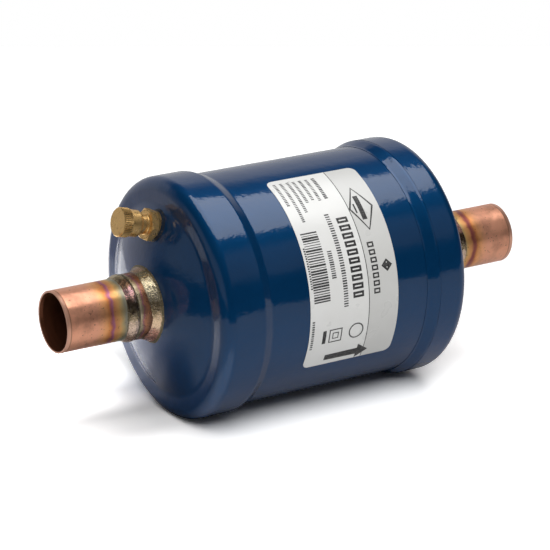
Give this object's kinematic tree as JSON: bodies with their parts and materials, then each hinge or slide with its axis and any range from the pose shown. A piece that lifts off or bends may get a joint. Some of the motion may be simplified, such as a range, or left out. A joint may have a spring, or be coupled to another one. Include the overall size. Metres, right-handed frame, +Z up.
{
  "type": "suction line filter drier",
  "caption": "Refrigeration suction line filter drier: painted steel shell with copper socket ends, a brass access valve and a moulded desiccant core",
  "frame": {"origin": "on the axis of the drier, midway between the mouths of the two line sockets", "axes": "+X along the flow, from the inlet socket to the outlet socket; +Z up, with the access valve above the inlet socket; the label faces -Y"},
  "size_m": [0.2606, 0.1206, 0.1206],
  "materials": {
    "blue_enamel": "gloss enamel with slight orange peel",
    "copper": "drawn copper, heat tinted next to the braze",
    "plated_collar": "copper plated steel, browned by heat",
    "braze": "pitted silver braze with flux stain",
    "label_film": "satin film with plain dark print",
    "brass": "machined",
    "steel": "bare",
    "white_plastic": "moulded",
    "black_rubber": "moulded",
    "desiccant": "moulded, porous",
    "felt": "pressed felt",
    "glass_fibre": "bonded fibre"
  },
  "bodies": {
    "root": {"shell_body": "blue_enamel", "inlet_end_cap": "blue_enamel", "outlet_end_cap": "blue_enamel", "inlet_seam_weld": "blue_enamel", "outlet_seam_weld": "blue_enamel", "inlet_collar": "plated_collar", "outlet_collar": "plated_collar", "inlet_stub": "copper", "outlet_stub": "copper", "inlet_collar_braze": "braze", "outlet_collar_braze": "braze", "inlet_stub_braze": "braze", "outlet_stub_braze": "braze", "label": "label_film", "access_valve_body": "brass", "access_valve_braze": "braze", "valve_core_body": "brass", "valve_core_gasket": "white_plastic", "valve_core_spring": "steel", "hold_down_spring": "steel", "inlet_retainer_plate": "steel", "inlet_felt_gasket": "felt", "desiccant_core": "desiccant", "filter_sleeve": "glass_fibre", "perforated_tube": "steel", "outlet_felt_gasket": "felt", "outlet_support_plate": "steel"},
    "cap_travel": {"valve_cap_seal": "black_rubber"},
    "cap": {"valve_cap": "brass"},
    "core_pin": {"valve_core_pin": "steel", "valve_core_seat_seal": "black_rubber"}
  },
  "joints": [
    {"name": "cap_turn_lift", "type": "slide", "parent": "root", "child": "cap_travel", "axis": [-0.9695, 0, 0.245], "range_m": [0, 0.0096]},
    {"name": "cap_turn", "type": "hinge", "parent": "cap_travel", "child": "cap", "pos_m": [-0.09275, 0, 0.04366], "axis": [-0.9695, 0, 0.245], "range_deg": [0, 2700]},
    {"name": "core_pin_press", "type": "slide", "parent": "root", "child": "core_pin", "axis": [0.9695, 0, -0.245], "range_m": [0, 0.0013], "stiffness_N_per_m": 1000, "springref_m": -0.002, "deforming": ["valve_core_spring"]}
  ],
  "couplings": [
    {"joint": "cap_turn_lift", "follows": "cap_turn", "m_per_rad": 0.00020213}
  ]
}
